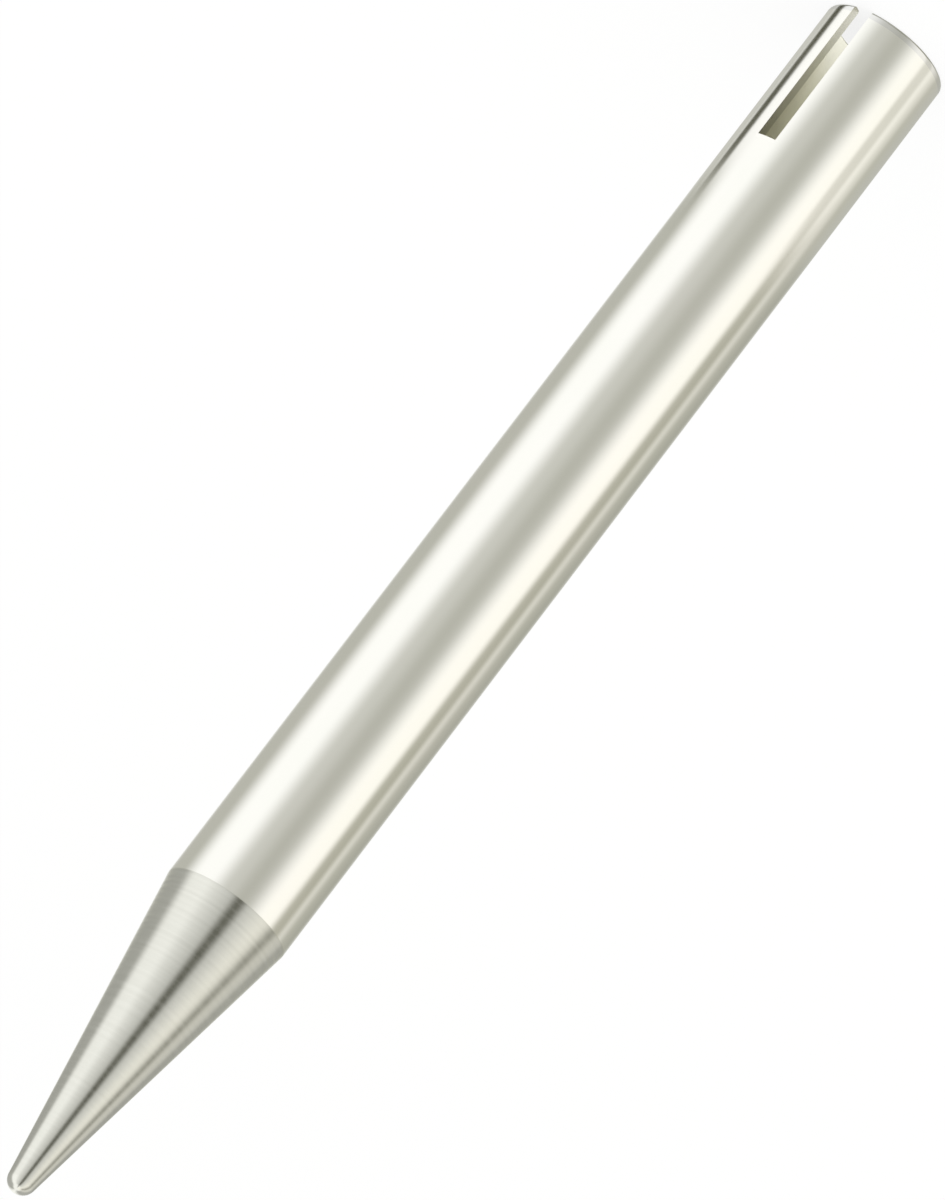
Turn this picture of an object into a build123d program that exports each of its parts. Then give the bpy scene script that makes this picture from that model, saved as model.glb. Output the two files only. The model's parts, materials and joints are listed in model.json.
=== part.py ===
from build123d import *
import math
import os

# Soldering iron tip, turned from one copper rod and plated.
# It stands on its open end with the point straight up. The origin is the centre of
# the open end, +Z runs towards the point, and the slit faces -Y. Millimetres.

# The long plain barrel that slides over the heating element
barrel_diameter = 5.0
barrel_length = 41.0     # from the open end to the shoulder
wall = 0.4               # copper left between the bore and the outside
solid_head = 4.0         # solid copper between the end of the bore and the shoulder
drill_point_angle = 118.0

# Working end: a long taper with a ball-shaped point
taper_length = 12.7      # from the shoulder to the very end of the point
point_radius = 0.55
shoulder_radius = 0.5    # the edge between barrel and taper is only just rounded

# Slit that lets the barrel spring onto the element
slit_width = 0.8
slit_length = 6.2

# Broken edges of the open end
outer_rim_break = 0.13
inner_rim_break = 0.1


def taper_half_angle():
    """Angle between the axis and the taper, whose side runs tangent into the point."""
    barrel_radius = barrel_diameter / 2
    ball_height = taper_length - point_radius
    reach = math.hypot(barrel_radius, ball_height)
    return math.acos(point_radius / reach) - math.atan2(ball_height, barrel_radius)


def turned_blank():
    """The solid rod after turning: rim, barrel, shoulder, taper and rounded point."""
    barrel_radius = barrel_diameter / 2
    angle = taper_half_angle()
    tip_height = barrel_length + taper_length
    ball_centre = tip_height - point_radius
    halfway = (angle + math.pi / 2) / 2

    rim = (barrel_radius - outer_rim_break, 0)
    barrel_start = (barrel_radius, outer_rim_break)
    shoulder = (barrel_radius, barrel_length)
    ball_start = (
        point_radius * math.cos(angle),
        ball_centre + point_radius * math.sin(angle),
    )
    ball_middle = (
        point_radius * math.cos(halfway),
        ball_centre + point_radius * math.sin(halfway),
    )
    tip_end = (0, tip_height)

    side = Polyline((0, 0), rim, barrel_start, shoulder, ball_start)
    point = ThreePointArc(ball_start, ball_middle, tip_end)
    axis_line = Line(tip_end, (0, 0))
    half_section = Plane.XZ * make_face([side, point, axis_line])
    blank = revolve(half_section, Axis.Z)

    shoulder_edge = blank.edges().sort_by(
        lambda edge: abs(edge.center().Z - barrel_length)
    )[0]
    return fillet(shoulder_edge, shoulder_radius)


def element_bore():
    """The drilled hole, with its countersunk mouth and the cone the drill leaves."""
    bore_radius = barrel_diameter / 2 - wall
    full_depth = barrel_length - solid_head
    cone_height = bore_radius / math.tan(math.radians(drill_point_angle / 2))

    half_section = Plane.XZ * make_face(
        Polyline(
            (0, 0),
            (bore_radius + inner_rim_break, 0),
            (bore_radius, inner_rim_break),
            (bore_radius, full_depth),
            (0, full_depth + cone_height),
            close=True,
        )
    )
    return revolve(half_section, Axis.Z)


def slit():
    """The saw cut through one side of the barrel, open at the rim and square inside."""
    barrel_radius = barrel_diameter / 2
    return Box(
        slit_width,
        barrel_radius + slit_width,
        2 * slit_length,
        align=(Align.CENTER, Align.MAX, Align.CENTER),
    )


def soldering_tip():
    return turned_blank() - element_bore() - slit()


os.makedirs("parts", exist_ok=True)

tip = soldering_tip()
export_step(tip, "parts/soldering_tip.step")
print("taper half angle:", round(math.degrees(taper_half_angle()), 2), "degrees")
print("volume:", round(tip.volume, 2), "mm3")
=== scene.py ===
# %% [markdown]
# # A slide-on soldering iron tip
#
# The part is one rod of copper, turned to a long taper, drilled from behind, slit at its
# open end and then plated. It has no joints, so one mesh stands for the whole of it.
# What makes it look real is the bright plate, and bright metal only shows what stands
# around it. So half of this lesson is the turned shape and half is the studio.

# %% Load the measured part
import json
import math
import random

import bmesh
import bpy
from mathutils import Euler, Matrix, Vector


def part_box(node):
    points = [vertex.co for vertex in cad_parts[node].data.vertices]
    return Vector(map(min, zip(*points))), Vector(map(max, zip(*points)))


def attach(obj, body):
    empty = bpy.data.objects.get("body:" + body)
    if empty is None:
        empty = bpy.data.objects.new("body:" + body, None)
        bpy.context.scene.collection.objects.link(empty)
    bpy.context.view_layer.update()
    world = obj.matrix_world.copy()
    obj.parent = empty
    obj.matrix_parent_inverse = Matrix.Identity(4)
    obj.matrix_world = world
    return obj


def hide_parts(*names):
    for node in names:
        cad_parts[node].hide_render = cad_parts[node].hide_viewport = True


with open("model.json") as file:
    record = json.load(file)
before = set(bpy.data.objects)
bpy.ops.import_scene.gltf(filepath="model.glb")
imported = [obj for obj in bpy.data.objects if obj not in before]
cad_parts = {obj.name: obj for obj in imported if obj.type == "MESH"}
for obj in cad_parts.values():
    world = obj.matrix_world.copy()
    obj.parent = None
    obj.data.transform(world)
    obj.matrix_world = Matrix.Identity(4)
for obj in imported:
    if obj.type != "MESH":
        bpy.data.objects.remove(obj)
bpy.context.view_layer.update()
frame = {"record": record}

# %% Millimetres
MM = 0.001


# %% [markdown]
# ## Sizes
#
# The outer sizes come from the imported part, so the look can never drift from the
# measured one. The bore's radius comes from the record, where it is a mount that other
# parts fit. The rest are the part's own sizes, repeated here in metres.

# %% Sizes, in metres
high_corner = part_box("soldering_tip")[1]
barrel_radius = round(high_corner.x, 6)
tip_height = round(high_corner.z, 6)
bore_mount = next(m for m in frame["record"]["mounts"] if m["name"] == "element_bore")
bore_radius = bore_mount["dims"]["r_mm"] * MM

taper_length = 12.7 * MM
point_radius = 0.55 * MM
shoulder_radius = 0.5 * MM
solid_head = 4.0 * MM
slit_width = 0.8 * MM
slit_length = 6.2 * MM
outer_rim_break = 0.13 * MM
inner_rim_break = 0.1 * MM
drill_point_angle = math.radians(118)

shoulder_height = tip_height - taper_length
bore_depth = shoulder_height - solid_head
ball_centre = tip_height - point_radius
print("barrel radius", barrel_radius, "shoulder at", shoulder_height, "bore depth", bore_depth)

# %% [markdown]
# ## The half-section
#
# On a lathe the outside is whatever path the tool takes, and the part is that path
# turned about the axis. The same is true in Blender: draw half of the section as a
# chain of edges, then spin it. One chain can hold everything, from the bottom of the
# bore, down its wall, round the rim, up the barrel and over the point. The point is a
# ball, and the taper's sides run tangent into it, so the taper's angle isn't chosen: it
# follows from the sizes.
#
# A sharp edge never looks real, because a real edge always catches a thin line of
# light. So the rim and the shoulder are short arcs here. Smooth shading bends the light
# over the whole of a face that touches an arc, and the barrel's faces are long. So a
# support ring lies close to each arc and to the end of the slit, and keeps it short.

# %% Arcs and the angle of the taper


def arc(centre, radius, start, stop, steps):
    """Points (radius from the axis, height) on an arc, angles from the outward direction."""
    angles = [start + (stop - start) * i / steps for i in range(steps + 1)]
    return [
        (centre[0] + radius * math.cos(a), centre[1] + radius * math.sin(a))
        for a in angles
    ]


ball_height = taper_length - point_radius
taper_angle = math.acos(
    point_radius / math.hypot(barrel_radius, ball_height)
) - math.atan2(ball_height, barrel_radius)
print("taper half angle:", round(math.degrees(taper_angle), 2), "degrees")

# %% Bore and rim
quarter = math.pi / 2
support = 0.08 * MM
rim_edge_height = outer_rim_break + 2 * support
cone_height = bore_radius / math.tan(drill_point_angle / 2)
bore_section = [
    (0.0, bore_depth + cone_height),
    (bore_radius, bore_depth),
    (bore_radius, slit_length),
    (bore_radius, inner_rim_break + support),
]
inner_centre = (bore_radius + inner_rim_break, inner_rim_break)
outer_centre = (barrel_radius - outer_rim_break, outer_rim_break)
inner_edge = arc(inner_centre, inner_rim_break, math.pi, 3 * quarter, steps=4)
outer_edge = arc(outer_centre, outer_rim_break, -quarter, 0.0, steps=6)
print("points in the bore and round the rim:", len(bore_section + inner_edge + outer_edge))

# %% Barrel and shoulder
shoulder_back = shoulder_radius * math.tan(taper_angle / 2)
shoulder_centre = (barrel_radius - shoulder_radius, shoulder_height - shoulder_back)
shoulder_arc = arc(shoulder_centre, shoulder_radius, 0.0, taper_angle, steps=5)
support_heights = (
    rim_edge_height,
    slit_length,
    slit_length + 2 * support,
    shoulder_arc[0][1] - support,
)
barrel_side = [(barrel_radius, height) for height in support_heights]
barrel_section = inner_edge + outer_edge + barrel_side + shoulder_arc
print("points up to the shoulder:", len(bore_section + barrel_section))

# %% [markdown]
# ## Tool marks on the taper
#
# The taper is cut at a feed of about a quarter of a millimetre a turn, and the plate
# is far too thin to fill the marks. They are only a few microns deep, yet they break
# up the reflections, most of all just below the shoulder where the tool bites first.
# No two turns bite alike, so each groove gets its own share of the depth by chance,
# with a seed that makes every run the same. Marks this wide belong in the shape. The
# finer ones can be bump.

# %% Grooves of the taper
feed = 0.24 * MM
mark_depth = 0.0064 * MM
mark_fade = 2.2 * MM
lasting_bite = 0.2
shallowest_mark = 0.35
marks_seed = 11

taper_start = shoulder_arc[-1]
ball_arc = arc((0.0, ball_centre), point_radius, taper_angle, quarter, steps=16)
taper_run = math.dist(taper_start, ball_arc[0])
taper_turns = int(taper_run / feed)
chance = random.Random(marks_seed)
turn_shares = [chance.uniform(shallowest_mark, 1.0) for _ in range(taper_turns + 2)]


def tool_mark(distance):
    """How far the surface lies below the true cone, at a distance from the shoulder."""
    bite = lasting_bite + (1 - lasting_bite) * math.exp(-distance / mark_fade)
    from_ends = min(1.0, distance / feed, (taper_run - distance) / feed)
    groove = (1 - math.cos(2 * math.pi * distance / feed)) / 2
    return mark_depth * turn_shares[int(distance / feed)] * bite * from_ends * groove


print("turns of the tool along the taper:", taper_turns)

# %% Taper and point
points_a_mark = 4
taper_steps = taper_turns * points_a_mark


def on_taper(distance):
    """The point of the section at a distance from the shoulder, with its tool mark."""
    sunk = tool_mark(distance)
    return (
        taper_start[0] - distance * math.sin(taper_angle) - sunk * math.cos(taper_angle),
        taper_start[1] + distance * math.cos(taper_angle) - sunk * math.sin(taper_angle),
    )


taper_section = [on_taper(taper_run * i / taper_steps) for i in range(1, taper_steps)]
half_section = bore_section + barrel_section + taper_section + ball_arc
# The last point is on the axis but for a rounding error, so it is set exactly there.
half_section[-1] = (0.0, tip_height)
print("points in the half-section:", len(half_section))

# %% [markdown]
# ## Drawing the section and turning it
#
# A plane is added at the bottom of the bore and merged to one vertex. Each further
# point is an extrude of that vertex, as a designer would click it in. Spin then sweeps
# the chain about the axis. Its first and last copies lie on each other, and so do all
# the points on the axis, so doubles are merged before the normals are recalculated.

# %% Draw the half-section
bpy.ops.object.select_all(action="DESELECT")
first = half_section[0]
bpy.ops.mesh.primitive_plane_add(size=MM, location=(first[0], 0, first[1]))
tip = bpy.context.object
tip.name = tip.data.name = "plated_tip"
bpy.ops.object.transform_apply(location=True, rotation=True, scale=True)
bpy.ops.object.mode_set(mode="EDIT")
bpy.ops.mesh.select_mode(type="VERT")
bpy.ops.mesh.merge(type="CENTER")
for here, there in zip(half_section, half_section[1:]):
    step = (there[0] - here[0], 0, there[1] - here[1])
    bpy.ops.mesh.extrude_region_move(TRANSFORM_OT_translate={"value": step})
print("vertices in the chain:", len(bmesh.from_edit_mesh(tip.data).verts))

# %% Turn it about the axis
sides = 240
merge_distance = 0.0001 * MM
bpy.ops.mesh.select_all(action="SELECT")
bpy.ops.mesh.spin(steps=sides, angle=2 * math.pi, center=(0, 0, 0), axis=(0, 0, 1))
bpy.ops.mesh.select_all(action="SELECT")
bpy.ops.mesh.remove_doubles(threshold=merge_distance)
bpy.ops.mesh.normals_make_consistent(inside=False)
print("faces after turning:", len(bmesh.from_edit_mesh(tip.data).faces))

# %% [markdown]
# ## The slit
#
# A thin saw cuts through one wall of the barrel, so the slit's two sides are flat and
# parallel. A boolean with a box could cut it as well, but bisect leaves clean edges in
# each of the two planes, and the walls and the bevel can follow them. The faces between
# the planes are deleted. The section already has a ring of edges at the slit's closed
# end. Then each side wall is one new face drawn between the edges that lie in its
# plane, and the end wall closes what is left.

# %% Selecting by a test


def select_only(kind, wanted):
    """Selects the faces or the edges that pass a test, and nothing else."""
    bpy.ops.mesh.select_all(action="DESELECT")
    shape = bmesh.from_edit_mesh(tip.data)
    chosen = [element for element in getattr(shape, kind) if wanted(element)]
    for element in chosen:
        element.select_set(True)
    bmesh.update_edit_mesh(tip.data)
    return len(chosen)


def lies(element, place):
    """True where every vertex of a face or an edge passes a test on its place."""
    return all(place(vertex.co) for vertex in element.verts)


# %% Saw the slit
tiny = 0.001 * MM
half_slit = slit_width / 2


def beside_slit(co):
    """True for places in the slotted wall, on both sides of the slit too."""
    return co.y < 0 and co.z < slit_length + tiny and abs(co.x) < 2 * slit_width


def inside_slit(co):
    """True for places between the two planes of the saw."""
    return beside_slit(co) and abs(co.x) < half_slit + tiny


bpy.ops.mesh.select_mode(type="FACE")
for side in (-1, 1):
    select_only("faces", lambda face: lies(face, beside_slit))
    bpy.ops.mesh.bisect(
        plane_co=(side * half_slit, 0, 0), plane_no=(1, 0, 0), threshold=merge_distance
    )
print("faces sawn out:", select_only("faces", lambda face: lies(face, inside_slit)))
bpy.ops.mesh.delete(type="FACE")

# %% Close its walls


def select_open(place):
    """Selects the edges with one face only that lie in a place."""
    return select_only("edges", lambda edge: len(edge.link_faces) == 1 and lies(edge, place))


def edges_left_open():
    """How many edges don't have exactly two faces."""
    return sum(len(e.link_faces) != 2 for e in bmesh.from_edit_mesh(tip.data).edges)


bpy.ops.mesh.select_mode(type="EDGE")
for side in (-1, 1):
    count = select_open(lambda co: abs(co.x - side * half_slit) < tiny)
    bpy.ops.mesh.edge_face_add()
    print("edges round a side wall:", count)
print("edges round the end wall:", select_open(lambda co: abs(co.z - slit_length) < tiny))
bpy.ops.mesh.edge_face_add()
bpy.ops.mesh.select_all(action="SELECT")
bpy.ops.mesh.normals_make_consistent(inside=False)
print("edges still open:", edges_left_open())

# %% [markdown]
# ## Breaking the slit's edges
#
# A saw leaves a burr, and deburring leaves the slit with a hair of a bevel all round.
# It is a few hundredths of a millimetre, which is just enough to catch the light. It
# ends at the rim's support ring, because the short edges of the rim's arc have no
# room for a bevel.

# %% Bevel round the slit
slit_break = 0.03 * MM
skin = 0.01 * MM
widest_smooth_angle = math.radians(25)


def on_barrel_skin(co):
    """True for places on the slotted side of the barrel's surface."""
    return co.y < 0 and abs(math.hypot(co.x, co.y) - barrel_radius) < skin


def on_end_wall(co):
    """True for places on the wall that closes the slit."""
    return abs(co.z - slit_length) < tiny and abs(co.x) < half_slit + tiny


def round_slit(edge):
    """True for the edges where the slit's walls meet the outside of the barrel."""
    flank = lies(edge, lambda co: abs(abs(co.x) - half_slit) < tiny)
    past_rim = lies(edge, lambda co: rim_edge_height - tiny < co.z < slit_length + tiny)
    return lies(edge, on_barrel_skin) and past_rim and (flank or lies(edge, on_end_wall))


print("edges to bevel:", select_only("edges", round_slit))
bpy.ops.mesh.bevel(offset=slit_break, segments=2, affect="EDGES", clamp_overlap=True)
print("edges open after the bevel:", edges_left_open())
bpy.ops.object.mode_set(mode="OBJECT")
bpy.ops.object.shade_smooth_by_angle(angle=widest_smooth_angle)

# %% [markdown]
# ## Materials
#
# The whole tip is plated, but five finishes lie on it: bright on the barrel, the same
# with greyer tones of painted shade on the rim's edge, satin on the taper, dull in the
# bore, and the dull plate again on the sawn walls of the slit, darker with painted shade.
# A picture of metal could be laid on them, but a pattern made of noise has no seam and
# stays sharp close up. On each finish one faint noise moves both the tone and the
# roughness, because a duller spot is a rougher one. All the patterns use Object
# coordinates, so they stay put when the part is seen from another side.
#
# Nodes could be placed and wired one by one, but the same few steps come again and
# again, here and in the studio. So they get short helpers first.

# %% Making nodes


def add_node(tree, kind, **settings):
    """A node with its properties and inputs set by name."""
    node = tree.nodes.new("ShaderNode" + kind)
    for key, value in settings.items():
        if hasattr(node, key):
            setattr(node, key, value)
        else:
            node.inputs[key.replace("_", " ")].default_value = value
    return node


def plug_in(tree, sockets, values):
    """Links each value that is a socket, and sets each one that is a number or a colour."""
    for socket, value in zip(sockets, values):
        if isinstance(value, bpy.types.NodeSocket):
            tree.links.new(value, socket)
        else:
            socket.default_value = value


def map_range(tree, value, start, stop, low, high, **settings):
    """A value that goes from low to high while another goes from start to stop."""
    node = add_node(tree, "MapRange", From_Min=start, From_Max=stop, **settings)
    plug_in(tree, (node.inputs[name] for name in ("Value", "To Min", "To Max")), (value, low, high))
    return node.outputs["Result"]


# %% Mixing two values

# A Mix node holds the sockets of every kind of data side by side. These are the
# places of its two inputs and its output for numbers and for colours.
MIX_SOCKETS = {"FLOAT": (2, 3, 0), "RGBA": (6, 7, 2)}


def blend(tree, kind, factor, first, second):
    """A number or a colour that goes from first to second with the factor."""
    node = add_node(tree, "Mix", data_type=kind)
    at_first, at_second, at_result = MIX_SOCKETS[kind]
    sockets = (node.inputs[0], node.inputs[at_first], node.inputs[at_second])
    plug_in(tree, sockets, (factor, first, second))
    return node.outputs[at_result]


# %% Patterns
noise_low = 0.3
noise_high = 0.7


def object_noise(tree, stretch, scale, detail):
    """Noise on Object coordinates, squeezed or drawn out along each axis."""
    place = add_node(tree, "TexCoord")
    mapping = add_node(tree, "Mapping", Scale=stretch)
    noise = add_node(tree, "TexNoise", Scale=scale, Detail=detail)
    tree.links.new(place.outputs["Object"], mapping.inputs["Vector"])
    tree.links.new(mapping.outputs["Vector"], noise.inputs["Vector"])
    return noise.outputs["Fac"]


def spread(tree, noise, low, high):
    """Maps the middle of a noise to the range from low to high."""
    return map_range(tree, noise, noise_low, noise_high, low, high)


def add_bump(made, height, distance):
    """Bump whose full height is a real distance in metres."""
    bump = add_node(made.node_tree, "Bump", Distance=distance, Strength=1.0)
    shader = made.node_tree.nodes["Principled BSDF"]
    made.node_tree.links.new(height, bump.inputs["Height"])
    made.node_tree.links.new(bump.outputs["Normal"], shader.inputs["Normal"])


# %% Plate of any kind


def plate(name, dark, light, roughness, **pattern):
    """A metal whose tone and roughness follow one noise, and that noise."""
    made = bpy.data.materials.new(name)
    made.use_nodes = True
    tree = made.node_tree
    shader = tree.nodes["Principled BSDF"]
    shader.inputs["Metallic"].default_value = 1.0
    noise = object_noise(tree, **pattern)
    tone = blend(tree, "RGBA", spread(tree, noise, 0.0, 1.0), (*dark, 1), (*light, 1))
    tree.links.new(tone, shader.inputs["Base Color"])
    tree.links.new(spread(tree, noise, *roughness), shader.inputs["Roughness"])
    return made, noise


# %% [markdown]
# ## Bright plate
#
# The barrel is drawn smooth before it is plated, so it is almost a mirror. A perfect
# mirror would look unreal, because drawing leaves a slow wave along the metal and no
# plate is quite even. The wave is bump, since as a shape it would need far more faces
# than the barrel has. The rim's edge has this finish too, in greyer tones that are
# painted shade.

# %% Bright plate on the barrel and its rim
wave_height = 0.004 * MM


def bright_plate(name, dark, light):
    """Clouds too faint to name, over a slow wave along the barrel."""
    clouds = {"stretch": (1, 1, 0.35), "scale": 420, "detail": 3}
    made, _ = plate(name, dark, light, roughness=(0.12, 0.17), **clouds)
    wave = object_noise(made.node_tree, stretch=(1, 1, 0.2), scale=300, detail=1)
    add_bump(made, wave, wave_height)
    return made


# %% [markdown]
# ## Satin plate
#
# On the taper the plate lies over the marks of the tool. The grooves are in the shape
# already, and between them are rings too fine to model, which turn the mirror into
# satin. They are a noise that changes fast along the axis and hardly at all across it,
# and that is all it takes to read as turned metal.

# %% Satin plate on the taper
fine_ring_height = 0.0012 * MM


def turned_plate(name, dark, light):
    """Fine rings round the axis, finer than the grooves that are in the shape."""
    rings = {"stretch": (0.02, 0.02, 1), "scale": 6000, "detail": 2}
    made, noise = plate(name, dark, light, roughness=(0.15, 0.21), **rings)
    add_bump(made, noise, fine_ring_height)
    return made


# %% [markdown]
# ## Dull plate
#
# Little plate reaches the inside of a narrow bore, and nobody polishes it there. It is
# thin, blotchy and rough, and it has an olive cast. The walls that the saw left get the
# same plate in a darker tone, which is painted shade. A rough metal needs no bump: its
# reflections are so wide that a wave wouldn't show in them.

# %% Dull plate in the bore and the slit


def dull_plate(name, dark, light):
    """Blotches on thin plate that nobody polished."""
    stains = {"stretch": (1, 1, 0.5), "scale": 900, "detail": 4}
    made, _ = plate(name, dark, light, roughness=(0.38, 0.5), **stains)
    return made


# %% [markdown]
# ## Each finish on its own faces
#
# A mask could paint the finishes on. But each one ends at or beside an edge that was
# turned, drilled or sawn. So every face gets one finish, by where its middle lies, and
# the borders are as crisp as the edges.

# %% The five finishes
finishes = [
    bright_plate("bright_plate", (0.915, 0.915, 0.87), (0.945, 0.935, 0.90)),
    turned_plate("turned_plate", (0.82, 0.82, 0.762), (0.86, 0.86, 0.802)),
    dull_plate("dull_bore_plate", (0.72, 0.71, 0.605), (0.82, 0.81, 0.715)),
    # Dull plate on the slit's walls, in a darker tone that is painted shade.
    dull_plate("sawn_plate", (0.55, 0.545, 0.47), (0.63, 0.62, 0.55)),
    # Bright plate on the rim's edge, in greyer tones that are painted shade.
    bright_plate("rim_plate", (0.80, 0.80, 0.79), (0.84, 0.84, 0.83)),
]
for finish in finishes:
    tip.data.materials.append(finish)
BARREL, TAPER, BORE, SLIT, RIM = range(len(finishes))
print("finishes:", [finish.name for finish in finishes])

# %% Where each one lies


def finish_of(face):
    """The finish of a face, by where its middle lies."""
    middle = face.center
    reach = math.hypot(middle.x, middle.y)
    if middle.z > shoulder_height - shoulder_back / 2 and face.normal.z > 0:
        return TAPER
    if reach < bore_radius + inner_rim_break / 2 and middle.z < bore_depth + cone_height:
        return BORE
    if inside_slit(middle) and reach < barrel_radius - slit_break:
        return SLIT
    if middle.z < rim_edge_height:
        return RIM
    return BARREL


for face in tip.data.polygons:
    face.material_index = finish_of(face)
for index, finish in enumerate(finishes):
    print(finish.name, "faces:", sum(f.material_index == index for f in tip.data.polygons))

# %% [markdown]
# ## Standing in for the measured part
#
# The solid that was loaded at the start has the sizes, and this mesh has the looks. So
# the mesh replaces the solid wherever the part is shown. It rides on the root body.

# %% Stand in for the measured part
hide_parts("soldering_tip")
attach(tip, "root")
print(tip.name, "stands in for soldering_tip")

# %% [markdown]
# ## The camera
#
# The photograph looks down at the tip by less than 20 degrees through a long
# lens, and it is turned so far that the point is at the lower left. So the camera is
# placed as for an upright picture first, and then rolled about its own line of sight.

# %% Where the camera stands
camera_azimuth = math.radians(-37)
camera_elevation = math.radians(18.41)

towards_camera = Vector((math.sin(camera_azimuth), -math.cos(camera_azimuth), 0))
aside = Vector((math.cos(camera_azimuth), math.sin(camera_azimuth), 0))
back = Vector(
    (
        math.sin(camera_azimuth) * math.cos(camera_elevation),
        -math.cos(camera_azimuth) * math.cos(camera_elevation),
        math.sin(camera_elevation),
    )
)
print("towards the camera:", [round(v, 3) for v in back])

# %% Camera
camera_roll = math.radians(-142.67)
camera_distance = 0.45
aim_height = 26.21 * MM
aim_aside = -0.207 * MM
focal_length = 380.3

aim = Vector((0, 0, aim_height)) + aside * aim_aside
bpy.ops.object.camera_add(location=aim + back * camera_distance)
camera = bpy.context.object
upright = (-back).to_track_quat("-Z", "Y")
roll = Euler((0, 0, camera_roll)).to_quaternion()
camera.rotation_mode = "QUATERNION"
camera.rotation_quaternion = upright @ roll
camera.data.lens = focal_length
camera.data.clip_start = 0.01
camera.data.clip_end = 10
bpy.context.scene.camera = camera
print("camera at", [round(v, 3) for v in camera.location])

# %% [markdown]
# ## The studio
#
# Bright metal is photographed in a white tent with grey cards in it, and every soft
# grey band on the barrel is one of those cards. The barrel is upright and the camera
# looks down, so the barrel shows what lies below the horizon, while the taper leans
# back and shows what stands on it. So there are two rings of cards. They could be
# planes that hang round the part. As nodes of the world they are endlessly far away
# instead, so each band runs straight along the barrel, with an edge as soft as need be.
# A card is given by its azimuth from the camera, its half width and its soft edge, all
# in degrees, and by the share of the white that it takes away.
#
# The cards are an olive grey, and the cloth on one side of the tent is a warmer white.
# One card of the upper ring is black. It makes the dark line along the taper. The upper
# ring also grows a little darker downwards, and that is what makes the tool marks show.
# The tent behind the tip shows only along its thin edges. A gap between two grey cards
# there gives the back of the barrel a bright band too. Overhead the cards end and the
# tent is plain cloth. Far down the whole tent is darker, which keeps some shade on the
# part when it is seen from above.

# %% The cards
cool_white = (0.985, 0.985, 0.972, 1)
warm_white = (1.0, 0.98, 0.918, 1)
low_shade = (0.07, 0.07, 0.0, 1)
high_shade = (0.066, 0.066, 0.042, 1)
olive_black = (0.02, 0.02, 0.0, 1)
warm_side = (-80, 40, 25)
low_cards = [
    (1.8, 36.5, 17, 0.46),
    (-7, 14, 14, 0.215),
    (-90, 12, 8, 0.605),
    (133.5, 34.5, 20, 0.575),
    (-136.5, 31.5, 20, 0.575),
    (-152, 24, 18, 0.2),
]
high_cards = [
    (-6, 30, 24, 0.365),
    (24, 22, 12, 0.18),
    (-62, 52, 14, 0.12),
    (-84, 8, 8, 0.55),
    (-92, 24, 10, 0.26),
    (130, 36, 12, 0.605),
    (-142, 26, 12, 0.605),
]
black_card = (-5.9, 9.8, 8)
black_share = 0.843
print("grey cards below and above the horizon:", len(low_cards), len(high_cards))

# %% Numbers as nodes


def math_node(tree, operation, *values):
    """A Math node whose inputs are sockets or numbers."""
    node = add_node(tree, "Math", operation=operation)
    plug_in(tree, node.inputs, values)
    return node.outputs[0]


def smooth_step(tree, value, start, stop):
    """0 at start, 1 at stop, and soft at both. Either of them may be the larger."""
    return map_range(tree, value, start, stop, 0.0, 1.0, interpolation_type="SMOOTHSTEP")


# %% The azimuth of a place


def along(tree, x, y, direction):
    """How far a place lies along a level direction."""
    from_x = math_node(tree, "MULTIPLY", x, direction.x)
    from_y = math_node(tree, "MULTIPLY", y, direction.y)
    return math_node(tree, "ADD", from_x, from_y)


def azimuth_from_camera(tree, x, y):
    """Degrees about the upright axis, counted from the side where the camera stands."""
    sideways = along(tree, x, y, aside)
    forward = along(tree, x, y, towards_camera)
    return math_node(tree, "DEGREES", math_node(tree, "ARCTAN2", sideways, forward))


# %% Cards as light


def card_mask(tree, azimuth, centre, half_width, soft):
    """1 on a card and 0 beside it."""
    turn = math_node(tree, "WRAP", math_node(tree, "SUBTRACT", azimuth, centre), 180, -180)
    away = math_node(tree, "ABSOLUTE", turn)
    return smooth_step(tree, away, half_width + soft, half_width - soft)


def dim(tree, light, mask, share):
    """The light that is left where a card takes its share."""
    kept = math_node(tree, "SUBTRACT", 1.0, math_node(tree, "MULTIPLY", mask, share))
    return math_node(tree, "MULTIPLY", light, kept)


def ring_light(tree, azimuth, cards):
    """The light that is left after every card of a ring has taken its share."""
    light = 1.0
    for *place, share in cards:
        light = dim(tree, light, card_mask(tree, azimuth, *place), share)
    return light


def blacken(tree, colour, mask, share):
    """The colour that is left where the black card takes its share."""
    hidden = math_node(tree, "MULTIPLY", mask, share)
    return blend(tree, "RGBA", hidden, colour, olive_black)


def cloth_colour(tree, azimuth):
    """The white of the tent, warmer on one side."""
    warm = card_mask(tree, azimuth, *warm_side)
    return blend(tree, "RGBA", warm, cool_white, warm_white)


# %% Changes from top to bottom

# Each pair is where a change starts and where it is complete, in degrees of elevation.
ring_seam = (-14, -9)
dusk = (12, -20)
roof = (58, 74)
steep = (-38, -60)
dusk_share = 0.25
steep_share = 0.46


def passed(tree, height, edges):
    """0 at the first elevation, 1 at the second, and soft between them."""
    return smooth_step(tree, height, *(math.sin(math.radians(edge)) for edge in edges))


# %% The light of the tent


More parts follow.
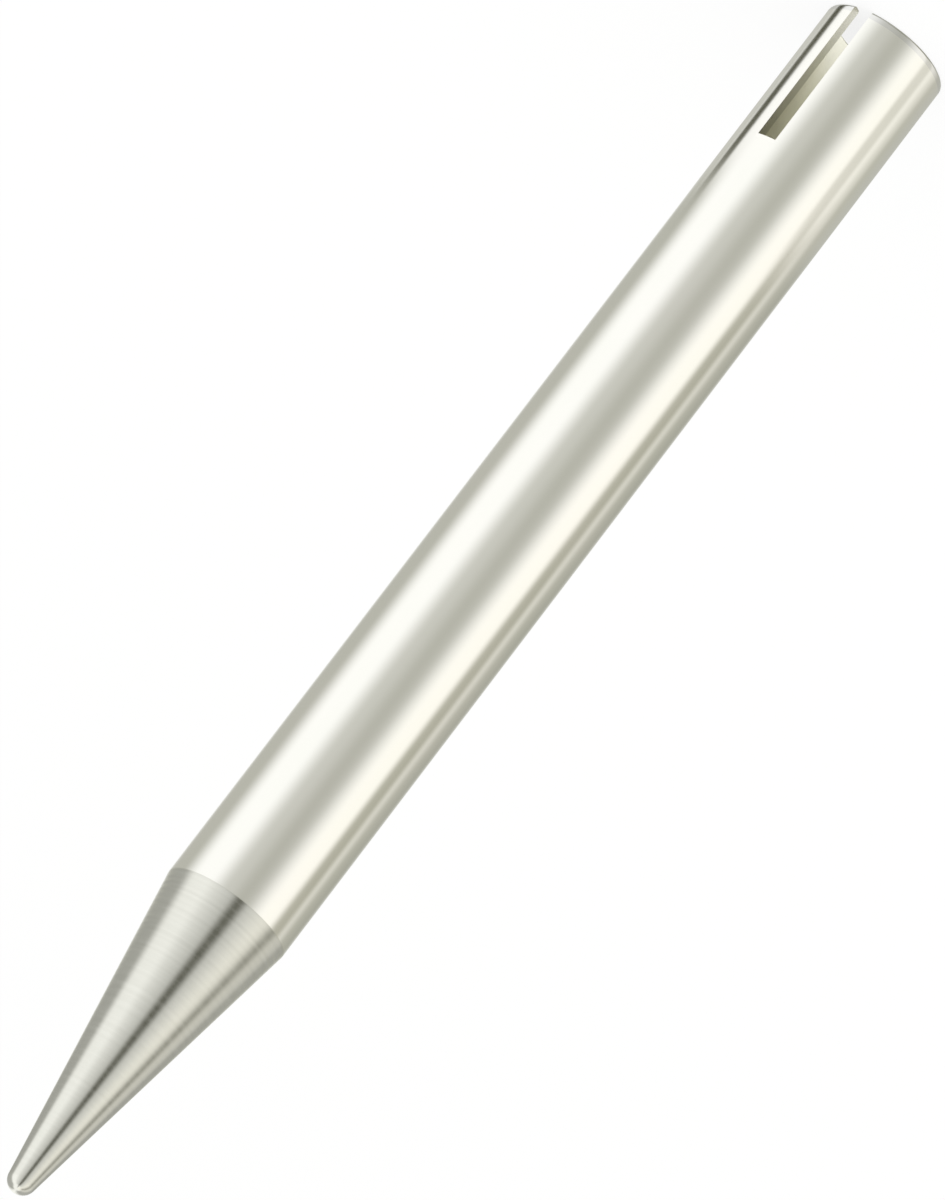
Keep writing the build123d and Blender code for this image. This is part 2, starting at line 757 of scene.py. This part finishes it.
def tent_light(tree):
    """The colour that a reflection sees in the direction of its ray."""
    direction = add_node(tree, "SeparateXYZ")
    tree.links.new(add_node(tree, "TexCoord").outputs["Generated"], direction.inputs[0])
    height = direction.outputs["Z"]
    azimuth = azimuth_from_camera(tree, direction.outputs["X"], direction.outputs["Y"])
    is_high = passed(tree, height, ring_seam)
    low = ring_light(tree, azimuth, low_cards)
    high = ring_light(tree, azimuth, high_cards)
    high = dim(tree, high, passed(tree, height, dusk), dusk_share)
    light = blend(tree, "FLOAT", is_high, low, high)
    light = blend(tree, "FLOAT", passed(tree, height, roof), light, 1.0)
    light = dim(tree, light, passed(tree, height, steep), steep_share)
    shade = blend(tree, "RGBA", is_high, low_shade, high_shade)
    colour = blend(tree, "RGBA", light, shade, cloth_colour(tree, azimuth))
    black = math_node(tree, "MULTIPLY", is_high, card_mask(tree, azimuth, *black_card))
    return blacken(tree, colour, black, black_share)


# %% [markdown]
# ## Hanging the tent
#
# Three kinds of ray get three answers from the world. Reflections see the tent with its
# cards. What the camera sees itself, or through something clear, is plain white. All
# other light is one soft white, so it lights the part evenly. None of it is sampled as
# a lamp, because the rays that leave the part find it by themselves.

# %% Choosing by the kind of ray


def switch(tree, factor, first, second):
    """The second shader where the factor is 1, and the first elsewhere."""
    mix = add_node(tree, "MixShader")
    plug_in(tree, mix.inputs, (factor, first.outputs[0], second.outputs[0]))
    return mix


def direct_rays(tree, path):
    """1 for what the camera sees itself or through something clear."""
    kinds = ("Is Camera Ray", "Is Transmission Ray")
    return math_node(tree, "MAXIMUM", *(path.outputs[kind] for kind in kinds))


# %% The world
tent_level = 1.09
soft_level = 0.8
plain_white = (1, 1, 1, 1)
soft_white = (1.0, 1.0, 0.98, 1)

world = bpy.data.worlds.new("white_tent")
bpy.context.scene.world = world
world.use_nodes = True
world.cycles.sampling_method = "NONE"
tree = world.node_tree
tree.nodes.clear()
path = add_node(tree, "LightPath")
tent = add_node(tree, "Background", Strength=tent_level)
tree.links.new(tent_light(tree), tent.inputs["Color"])
soft = add_node(tree, "Background", Color=soft_white, Strength=soft_level)
plain = add_node(tree, "Background", Color=plain_white, Strength=1.0)
bounced = switch(tree, path.outputs["Is Glossy Ray"], soft, tent)
whole = switch(tree, direct_rays(tree, path), bounced, plain)
tree.links.new(whole.outputs[0], add_node(tree, "OutputWorld").inputs["Surface"])
print("tent nodes:", len(tree.nodes))

# %% [markdown]
# ## The floor
#
# The camera sees a white floor. Most of that white is the paper's own glow, and a
# share of it is real light on paper, so the part still throws its shadow. Reflections
# pass through the floor to the tent, as they would if the part stood on clear glass
# with more of the tent below it. Otherwise each band would bend close to the foot.
# From below, the floor is clear for the camera too, so the open end can be looked
# into. It lies a hair under the part, so that no two faces share one plane.

# %% Floor
floor_radius = 3.0
floor_drop = 0.01 * MM
bpy.ops.mesh.primitive_circle_add(
    vertices=96, radius=floor_radius, fill_type="NGON", location=(0, 0, -floor_drop)
)
floor = bpy.context.object
floor.name = "studio_floor"
print("floor across, in m:", 2 * floor_radius)

# %% A material for the stage


def stage_material(name):
    """An empty material for the stage, whose glow doesn't act as a lamp."""
    made = bpy.data.materials.new(name)
    made.use_nodes = True
    made.cycles.emission_sampling = "NONE"
    tree = made.node_tree
    tree.nodes.remove(tree.nodes["Principled BSDF"])
    return made, tree, tree.nodes["Material Output"].inputs["Surface"]


# %% The floor's paper
shadow_share = 0.16
shadow_grey = (shadow_share, shadow_share, shadow_share, 1)
paper_white = (0.8, 0.8, 0.78, 1)

floor_paper, tree, surface = stage_material("white_paper")
glow = add_node(tree, "Emission", Color=plain_white, Strength=1 - shadow_share)
lit = add_node(tree, "BsdfDiffuse", Color=shadow_grey)
seen = add_node(tree, "AddShader")
plug_in(tree, seen.inputs, (glow.outputs[0], lit.outputs[0]))
paper = add_node(tree, "BsdfDiffuse", Color=paper_white)
clear = add_node(tree, "BsdfTransparent")
path = add_node(tree, "LightPath")
bounced = switch(tree, path.outputs["Is Glossy Ray"], paper, clear)
from_above = switch(tree, direct_rays(tree, path), bounced, seen)
underside = add_node(tree, "NewGeometry").outputs["Backfacing"]
tree.links.new(switch(tree, underside, from_above, clear).outputs[0], surface)
floor.data.materials.append(floor_paper)
print("floor material:", floor_paper.name)

# %% [markdown]
# ## The ring at the foot
#
# Near the open end the photograph has a thin black line beside a white one along one
# edge of the barrel, and the grey line on the other side fades out. So a third ring of
# cards stands below the floor, close to the part. Light that leaves the barrel's foot
# downwards meets that ring, and light from higher up passes over its soft top edge. The
# ring leans a degree to one side, because the black line in the photograph begins
# closer to the foot than the grey line ends. The lean stays on the object and isn't
# applied to the mesh, so the top edge, which Object coordinates place, leans with it.

# %% The ring
foot_ring_radius = 50 * MM
foot_ring_depth = 40 * MM
foot_ring_top = (-8.0 * MM, -11.3 * MM)
foot_ring_tilt = math.radians(-0.9)


def for_reflections_only(stage_object):
    """Hides a part of the stage from all rays but reflections."""
    for kind in ("camera", "diffuse", "transmission", "shadow"):
        setattr(stage_object, "visible_" + kind, False)


bpy.ops.mesh.primitive_cylinder_add(
    vertices=96,
    radius=foot_ring_radius,
    depth=foot_ring_depth,
    end_fill_type="NOTHING",
    location=(0, 0, foot_ring_top[0] - foot_ring_depth / 2),
    rotation=Matrix.Rotation(foot_ring_tilt, 4, towards_camera).to_euler(),
)
bpy.ops.object.transform_apply(location=True, rotation=False, scale=False)
foot_ring = bpy.context.object
foot_ring.name = "foot_ring"
for_reflections_only(foot_ring)
print("foot ring across, in mm:", 2 * foot_ring_radius / MM)

# %% Its cards
foot_cards = [
    (1.8, 35.5, 17, 0.46),
    (-6.5, 13.5, 14, 0.215),
    (-77.5, 9.5, 4.5, 0.35),
    (-95.5, 10, 6, 0.12),
    (122, 8.3, 3.3, 0.65),
    (152, 20, 8, 0.48),
    (-139, 35, 16, 0.56),
]
foot_black = (122, 8.3, 3.3)
foot_black_share = 0.85

foot_paper, tree, surface = stage_material("foot_cards")
place = add_node(tree, "SeparateXYZ")
tree.links.new(add_node(tree, "TexCoord").outputs["Object"], place.inputs[0])
azimuth = azimuth_from_camera(tree, place.outputs["X"], place.outputs["Y"])
light = ring_light(tree, azimuth, foot_cards)
colour = blend(tree, "RGBA", light, low_shade, cloth_colour(tree, azimuth))
colour = blacken(tree, colour, card_mask(tree, azimuth, *foot_black), foot_black_share)
glow = add_node(tree, "Emission", Strength=tent_level)
tree.links.new(colour, glow.inputs["Color"])
clear = add_node(tree, "BsdfTransparent")
below_top = smooth_step(tree, place.outputs["Z"], *foot_ring_top)
tree.links.new(switch(tree, below_top, clear, glow).outputs[0], surface)
foot_ring.data.materials.append(foot_paper)
print("cards at the foot:", len(foot_cards))

# %% [markdown]
# ## The disc in the mouth of the bore
#
# In the photograph the inside of the slit grows brighter towards the rim, because the
# open end lets light in. A small white disc across the mouth of the bore gives that
# light. Only reflections see it.

# %% White disc
disc_lift = 0.02 * MM
disc_level = 1.32
bpy.ops.mesh.primitive_circle_add(
    vertices=48, radius=bore_radius, fill_type="NGON", location=(0, 0, disc_lift)
)
disc = bpy.context.object
disc.name = "white_disc"
for_reflections_only(disc)
disc_paper, tree, surface = stage_material("disc_paper")
glow = add_node(tree, "Emission", Color=cool_white, Strength=disc_level)
tree.links.new(glow.outputs[0], surface)
disc.data.materials.append(disc_paper)
print("stage:", [piece.name for piece in (floor, foot_ring, disc)])

# %% [markdown]
# ## The lamp
#
# One large soft box hangs over the part. It gives the floor its faint shadow. It is
# kept out of reflections, because the tent already gives the metal all it shows.

# %% Soft box
lamp_place = (-0.3, -0.2, 0.8)
lamp_width = 0.8
lamp_power = 2.4
bpy.ops.object.light_add(type="AREA", location=lamp_place)
lamp = bpy.context.object
lamp.data.shape = "DISK"
lamp.data.size = lamp_width
lamp.data.energy = lamp_power
lamp.rotation_mode = "QUATERNION"
lamp.rotation_quaternion = lamp.location.to_track_quat("Z", "Y")
lamp.visible_glossy = False
lamp.visible_camera = False
print("lamp over the part, in m:", lamp_place)

# %% [markdown]
# ## The view transform
#
# The last step sets the Standard view transform.

# %% Finish
bpy.context.scene.view_settings.view_transform = "Standard"
